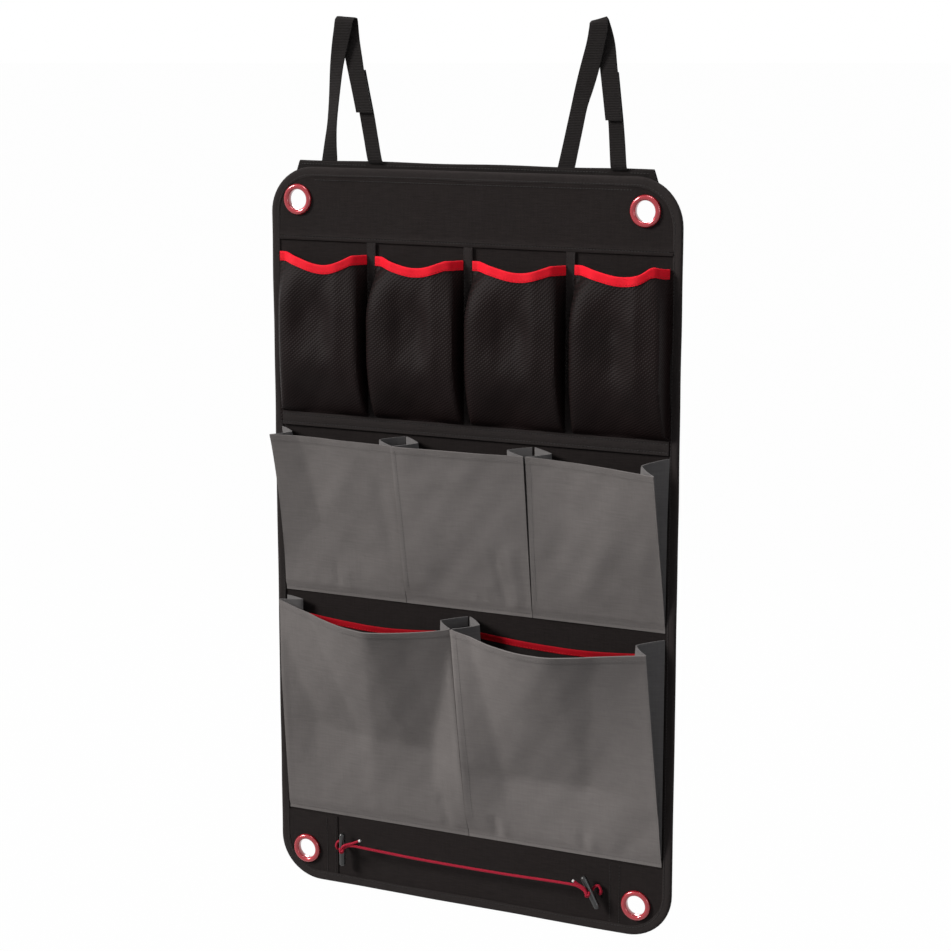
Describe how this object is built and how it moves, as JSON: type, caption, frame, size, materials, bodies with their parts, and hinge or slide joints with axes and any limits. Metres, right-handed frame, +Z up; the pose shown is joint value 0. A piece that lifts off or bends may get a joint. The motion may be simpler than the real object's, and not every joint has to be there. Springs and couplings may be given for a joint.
{
  "type": "hanging pocket organizer",
  "caption": "fabric panel that hangs by two webbing loops, with a row of mesh pockets above two rows of gaping bellows pockets, corner eyelets and an elastic cord with bar toggles",
  "frame": {"origin": "on the rail line, midway between the two webbing loops in X; the panel's front face lies at Y 0", "axes": "+X to the right as seen from the front, the pockets face -Y, +Z up"},
  "size_m": [0.466, 0.083, 0.9444],
  "materials": {
    "black_fabric": "matt woven polyester",
    "black_tape": "matt binding tape",
    "webbing": "matt webbing",
    "hook_and_loop": "hook and loop tape",
    "mesh": "open knitted mesh",
    "grey_fabric": "matt woven polyester",
    "red_tape": "folded edge tape",
    "red_metal": "glossy enamel",
    "steel": "plain",
    "plastic": "satin moulded",
    "elastic": "braided elastic",
    "batten_plastic": "plain"
  },
  "bodies": {
    "straps": {"strap_left": "webbing", "strap_right": "webbing", "strap_hook_left": "hook_and_loop", "strap_hook_right": "hook_and_loop"},
    "closing_tab_left": {"tab_left": "webbing", "tab_loop_left": "hook_and_loop"},
    "closing_tab_right": {"tab_right": "webbing", "tab_loop_right": "hook_and_loop"},
    "small_front_1": {"small_pocket_front_1": "grey_fabric"},
    "small_front_2": {"small_pocket_front_2": "grey_fabric"},
    "small_front_3": {"small_pocket_front_3": "grey_fabric"},
    "large_front_1": {"large_pocket_front_1": "grey_fabric"},
    "large_front_2": {"large_pocket_front_2": "grey_fabric"},
    "toggle_bar_left": {"toggle_left": "plastic"},
    "toggle_bar_right": {"toggle_right": "plastic"},
    "panel": {"back_panel": "black_fabric", "cord_tip_left": "batten_plastic", "cord_tip_right": "batten_plastic", "corner_patch_left": "black_fabric", "corner_patch_right": "black_fabric", "divider_tape_1": "black_tape", "divider_tape_2": "black_tape", "divider_tape_3": "black_tape", "edge_binding": "black_tape", "elastic_cord": "elastic", "eyelet_bottom_left": "red_metal", "eyelet_bottom_right": "red_metal", "eyelet_top_left": "red_metal", "eyelet_top_right": "red_metal", "eyelet_washer_bottom_left": "steel", "eyelet_washer_bottom_right": "steel", "eyelet_washer_top_left": "steel", "eyelet_washer_top_right": "steel", "hanging_sleeve": "black_fabric", "header_facing": "black_fabric", "inner_pocket_1": "black_fabric", "inner_pocket_2": "black_fabric", "inner_trim_1": "red_tape", "inner_trim_2": "red_tape", "large_gusset_1_left": "grey_fabric", "large_gusset_1_right": "grey_fabric", "large_gusset_2_left": "grey_fabric", "large_gusset_2_right": "grey_fabric", "mesh_hem_tape": "black_tape", "mesh_pocket_1": "mesh", "mesh_pocket_2": "mesh", "mesh_pocket_3": "mesh", "mesh_pocket_4": "mesh", "mesh_trim_1": "red_tape", "mesh_trim_2": "red_tape", "mesh_trim_3": "red_tape", "mesh_trim_4": "red_tape", "sleeve_batten": "batten_plastic", "small_gusset_1_left": "grey_fabric", "small_gusset_1_right": "grey_fabric", "small_gusset_2_left": "grey_fabric", "small_gusset_2_right": "grey_fabric", "small_gusset_3_left": "grey_fabric", "small_gusset_3_right": "grey_fabric"}
  },
  "joints": [
    {"name": "panel_swing", "type": "hinge", "parent": "straps", "child": "panel", "pos_m": [0, 0.00465, -0.14575], "axis": [1, 0, 0], "range_deg": [-45, 10]},
    {"name": "tab_left_peel", "type": "hinge", "parent": "straps", "child": "closing_tab_left", "pos_m": [-0.10725, 0.00465, -0.14575], "axis": [-1, 0, 0], "range_deg": [0, 85]},
    {"name": "tab_right_peel", "type": "hinge", "parent": "straps", "child": "closing_tab_right", "pos_m": [0.16575, 0.00465, -0.14575], "axis": [-1, 0, 0], "range_deg": [0, 85]},
    {"name": "small_front_1_gape", "type": "hinge", "parent": "panel", "child": "small_front_1", "pos_m": [0, -0.0009, -0.608], "axis": [1, 0, 0], "range_deg": [-6, 4], "deforming": ["small_gusset_1_left", "small_gusset_1_right"]},
    {"name": "small_front_2_gape", "type": "hinge", "parent": "panel", "child": "small_front_2", "pos_m": [0, -0.0009, -0.608], "axis": [1, 0, 0], "range_deg": [-6.4, 4], "deforming": ["small_gusset_2_left", "small_gusset_2_right"]},
    {"name": "small_front_3_gape", "type": "hinge", "parent": "panel", "child": "small_front_3", "pos_m": [0, -0.0009, -0.608], "axis": [1, 0, 0], "range_deg": [-6.4, 4], "deforming": ["small_gusset_3_left", "small_gusset_3_right"]},
    {"name": "large_front_1_gape", "type": "hinge", "parent": "panel", "child": "large_front_1", "pos_m": [0, -0.0009, -0.859], "axis": [1, 0, 0], "range_deg": [-4.6, 4], "deforming": ["large_gusset_1_left", "large_gusset_1_right"]},
    {"name": "large_front_2_gape", "type": "hinge", "parent": "panel", "child": "large_front_2", "pos_m": [0, -0.0009, -0.859], "axis": [1, 0, 0], "range_deg": [-8.5, 1.5], "deforming": ["large_gusset_2_left", "large_gusset_2_right"]},
    {"name": "toggle_left_turn", "type": "hinge", "parent": "panel", "child": "toggle_bar_left", "pos_m": [-0.1517, -0.0094, -0.9], "axis": [0, 1, 0], "range_deg": [-90, 90]},
    {"name": "toggle_right_turn", "type": "hinge", "parent": "panel", "child": "toggle_bar_right", "pos_m": [0.1455, -0.0094, -0.9], "axis": [0, 1, 0], "range_deg": [-90, 90]}
  ]
}
